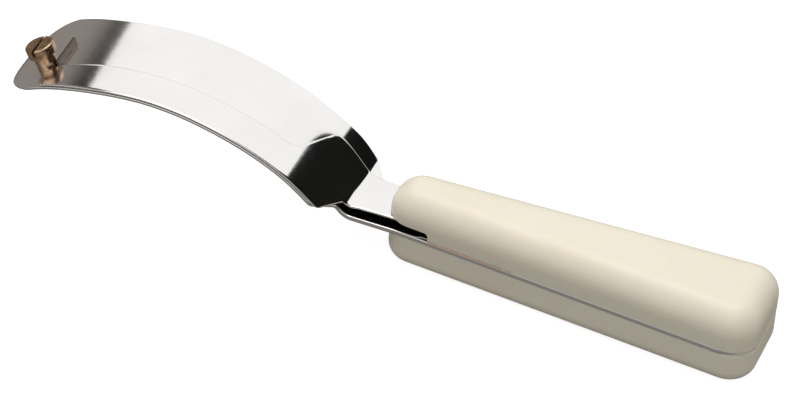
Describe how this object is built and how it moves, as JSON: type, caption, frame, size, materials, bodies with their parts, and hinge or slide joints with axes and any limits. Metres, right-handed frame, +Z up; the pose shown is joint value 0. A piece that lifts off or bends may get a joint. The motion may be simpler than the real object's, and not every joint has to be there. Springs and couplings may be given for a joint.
{
  "type": "arched two-leaf spatula knife",
  "caption": "Arched polished-steel hand tool: a wide blade with a spring leaf along its front edge, a brass screw at the round tip, and a cream two-scale handle.",
  "frame": {"origin": "centre of the flat underside of the lower handle scale, the face the tool rests on", "axes": "+X runs along the handle to its butt, with the blade's tip at -X; +Z is up, out of the arch's top; +Y is across the tool, away from the spring leaf's side"},
  "size_m": [0.236, 0.0356, 0.04],
  "materials": {
    "polished_steel": "mirror polished stainless steel",
    "spring_steel": "mirror polished stainless spring steel",
    "brass": "turned, dulled brass",
    "cream_plastic": "satin moulded plastic, slightly translucent",
    "amber_fibre": "amber fibre",
    "fastener_steel": "bright turned steel"
  },
  "bodies": {
    "tool": {"blade": "polished_steel", "stop_tab": "polished_steel", "tip_collar": "brass", "upper_scale": "cream_plastic", "lower_scale": "cream_plastic", "leaf_spacer": "amber_fibre", "leaf_rivets": "fastener_steel", "scale_screws": "fastener_steel", "scale_inserts": "brass"},
    "leaf": {"spring_leaf": "spring_steel"},
    "washer": {"tip_washer": "brass"},
    "screw": {"tip_screw": "brass"}
  },
  "joints": [
    {"name": "leaf_flex", "type": "hinge", "parent": "tool", "child": "leaf", "pos_m": [-0.057, 0, 0.01515], "axis": [0, 1, 0], "range_deg": [0, 4], "stiffness_Nm_per_rad": 1.5, "springref_deg": -1.15, "deforming": ["spring_leaf"]},
    {"name": "screw_lift", "type": "slide", "parent": "tool", "child": "washer", "axis": [-0.4199, 0, 0.9076], "range_m": [0, 0.0028]},
    {"name": "screw_turn", "type": "hinge", "parent": "washer", "child": "screw", "pos_m": [-0.16678, -0.0065, 0.03127], "axis": [-0.4199, 0, 0.9076], "range_deg": [0, 1440]}
  ],
  "couplings": [
    {"joint": "screw_turn", "follows": "screw_lift", "rad_per_m": 8976}
  ]
}
